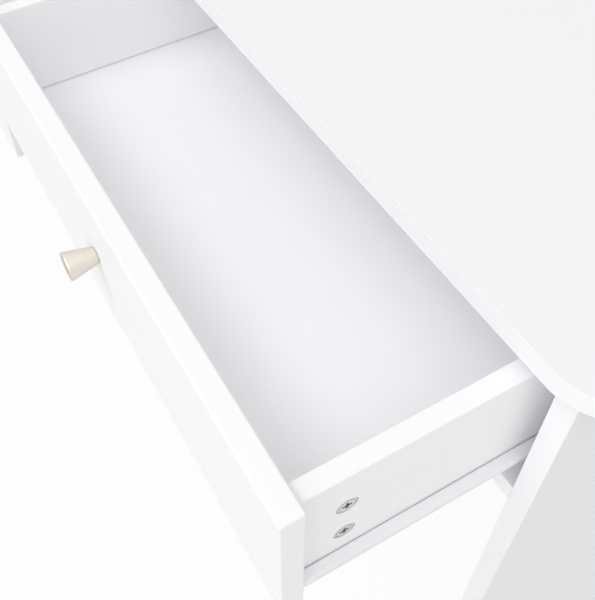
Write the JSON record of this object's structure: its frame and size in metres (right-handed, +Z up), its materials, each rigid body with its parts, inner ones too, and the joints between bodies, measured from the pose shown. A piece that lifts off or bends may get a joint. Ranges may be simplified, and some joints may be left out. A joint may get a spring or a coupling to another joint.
{
  "type": "writing desk with drawers",
  "caption": "White writing desk with round-cornered top, panel legs, and a deep and a shallow inset drawer with tapered knobs on roller slides, both open.",
  "frame": {"origin": "on the floor, under the middle of the whole desk as it stands at rest: midway across the desktop, and midway between the right drawer's knob and the desktop's back edge", "axes": "+X to the right along the desktop's front edge, +Y from the front to the back, +Z up from the floor"},
  "size_m": [1.08, 0.6726, 0.75],
  "materials": {
    "white_board": "satin white lacquer on fibreboard",
    "drawer_board": "white foil on board, slightly duller than the lacquer",
    "white_steel": "white powder-coated sheet steel",
    "zinc_steel": "zinc-plated, slightly grained",
    "champagne_metal": "satin champagne metal",
    "nylon": "moulded nylon"
  },
  "bodies": {
    "carcass": {"desktop": "white_board", "left_side_panel": "white_board", "right_side_panel": "white_board", "centre_divider": "white_board", "left_bottom_board": "white_board", "right_bottom_board": "white_board", "case_back_board": "white_board", "modesty_panel": "white_board", "left_bay_left_rail": "white_steel", "left_bay_right_rail": "white_steel", "right_bay_left_rail": "white_steel", "right_bay_right_rail": "white_steel", "divider_front_screw": "zinc_steel", "divider_back_screw": "zinc_steel", "left_front_glide": "nylon", "left_back_glide": "nylon", "right_front_glide": "nylon", "right_back_glide": "nylon"},
    "left_drawer": {"left_drawer_front": "white_board", "left_drawer_left_side": "drawer_board", "left_drawer_right_side": "drawer_board", "left_drawer_back": "drawer_board", "left_drawer_floor": "drawer_board", "left_drawer_knob": "champagne_metal", "left_drawer_knob_screw": "zinc_steel", "left_drawer_left_runner": "white_steel", "left_drawer_right_runner": "white_steel", "left_drawer_left_upper_cam": "zinc_steel", "left_drawer_left_upper_cam_bolt": "zinc_steel", "left_drawer_left_lower_cam": "zinc_steel", "left_drawer_left_lower_cam_bolt": "zinc_steel", "left_drawer_right_upper_cam": "zinc_steel", "left_drawer_right_upper_cam_bolt": "zinc_steel", "left_drawer_right_lower_cam": "zinc_steel", "left_drawer_right_lower_cam_bolt": "zinc_steel"},
    "left_bay_left_roller": {"left_bay_left_roller": "nylon"},
    "left_drawer_left_roller": {"left_drawer_left_roller": "nylon"},
    "left_bay_right_roller": {"left_bay_right_roller": "nylon"},
    "left_drawer_right_roller": {"left_drawer_right_roller": "nylon"},
    "right_drawer": {"right_drawer_front": "white_board", "right_drawer_left_side": "drawer_board", "right_drawer_right_side": "drawer_board", "right_drawer_back": "drawer_board", "right_drawer_floor": "drawer_board", "right_drawer_knob": "champagne_metal", "right_drawer_knob_screw": "zinc_steel", "right_drawer_left_runner": "white_steel", "right_drawer_right_runner": "white_steel", "right_drawer_left_upper_cam": "zinc_steel", "right_drawer_left_upper_cam_bolt": "zinc_steel", "right_drawer_left_lower_cam": "zinc_steel", "right_drawer_left_lower_cam_bolt": "zinc_steel", "right_drawer_right_upper_cam": "zinc_steel", "right_drawer_right_upper_cam_bolt": "zinc_steel", "right_drawer_right_lower_cam": "zinc_steel", "right_drawer_right_lower_cam_bolt": "zinc_steel"},
    "right_bay_left_roller": {"right_bay_left_roller": "nylon"},
    "right_drawer_left_roller": {"right_drawer_left_roller": "nylon"},
    "right_bay_right_roller": {"right_bay_right_roller": "nylon"},
    "right_drawer_right_roller": {"right_drawer_right_roller": "nylon"}
  },
  "joints": [
    {"name": "left_drawer_slide", "type": "slide", "parent": "carcass", "child": "left_drawer", "axis": [0, -1, 0], "range_m": [-0.1585, 0.1515]},
    {"name": "left_bay_left_roller_spin", "type": "hinge", "parent": "carcass", "child": "left_bay_left_roller", "pos_m": [-0.4979, -0.12745, 0.5617], "axis": [1, 0, 0], "range_deg": [-908.3, 868.2]},
    {"name": "left_drawer_left_roller_spin", "type": "hinge", "parent": "left_drawer", "child": "left_drawer_left_roller", "pos_m": [-0.4939, 0.09355, 0.559], "axis": [1, 0, 0], "range_deg": [-1211, 1157.5]},
    {"name": "left_bay_right_roller_spin", "type": "hinge", "parent": "carcass", "child": "left_bay_right_roller", "pos_m": [-0.0106, -0.12745, 0.5617], "axis": [1, 0, 0], "range_deg": [-908.3, 868.2]},
    {"name": "left_drawer_right_roller_spin", "type": "hinge", "parent": "left_drawer", "child": "left_drawer_right_roller", "pos_m": [-0.0146, 0.09355, 0.559], "axis": [1, 0, 0], "range_deg": [-1211, 1157.5]},
    {"name": "right_drawer_slide", "type": "slide", "parent": "carcass", "child": "right_drawer", "axis": [0, -1, 0], "range_m": [-0.161, 0.149]},
    {"name": "right_bay_left_roller_spin", "type": "hinge", "parent": "carcass", "child": "right_bay_left_roller", "pos_m": [0.0106, -0.12745, 0.6287], "axis": [1, 0, 0], "range_deg": [-922.6, 853.9]},
    {"name": "right_drawer_left_roller_spin", "type": "hinge", "parent": "right_drawer", "child": "right_drawer_left_roller", "pos_m": [0.0146, 0.09105, 0.626], "axis": [1, 0, 0], "range_deg": [-1230.1, 1138.4]},
    {"name": "right_bay_right_roller_spin", "type": "hinge", "parent": "carcass", "child": "right_bay_right_roller", "pos_m": [0.4979, -0.12745, 0.6287], "axis": [1, 0, 0], "range_deg": [-922.6, 853.9]},
    {"name": "right_drawer_right_roller_spin", "type": "hinge", "parent": "right_drawer", "child": "right_drawer_right_roller", "pos_m": [0.4939, 0.09105, 0.626], "axis": [1, 0, 0], "range_deg": [-1230.1, 1138.4]}
  ],
  "couplings": [
    {"joint": "left_bay_left_roller_spin", "follows": "left_drawer_slide", "rad_per_m": 100},
    {"joint": "left_drawer_left_roller_spin", "follows": "left_drawer_slide", "rad_per_m": 133.33},
    {"joint": "left_bay_right_roller_spin", "follows": "left_drawer_slide", "rad_per_m": 100},
    {"joint": "left_drawer_right_roller_spin", "follows": "left_drawer_slide", "rad_per_m": 133.33},
    {"joint": "right_bay_left_roller_spin", "follows": "right_drawer_slide", "rad_per_m": 100},
    {"joint": "right_drawer_left_roller_spin", "follows": "right_drawer_slide", "rad_per_m": 133.33},
    {"joint": "right_bay_right_roller_spin", "follows": "right_drawer_slide", "rad_per_m": 100},
    {"joint": "right_drawer_right_roller_spin", "follows": "right_drawer_slide", "rad_per_m": 133.33}
  ]
}
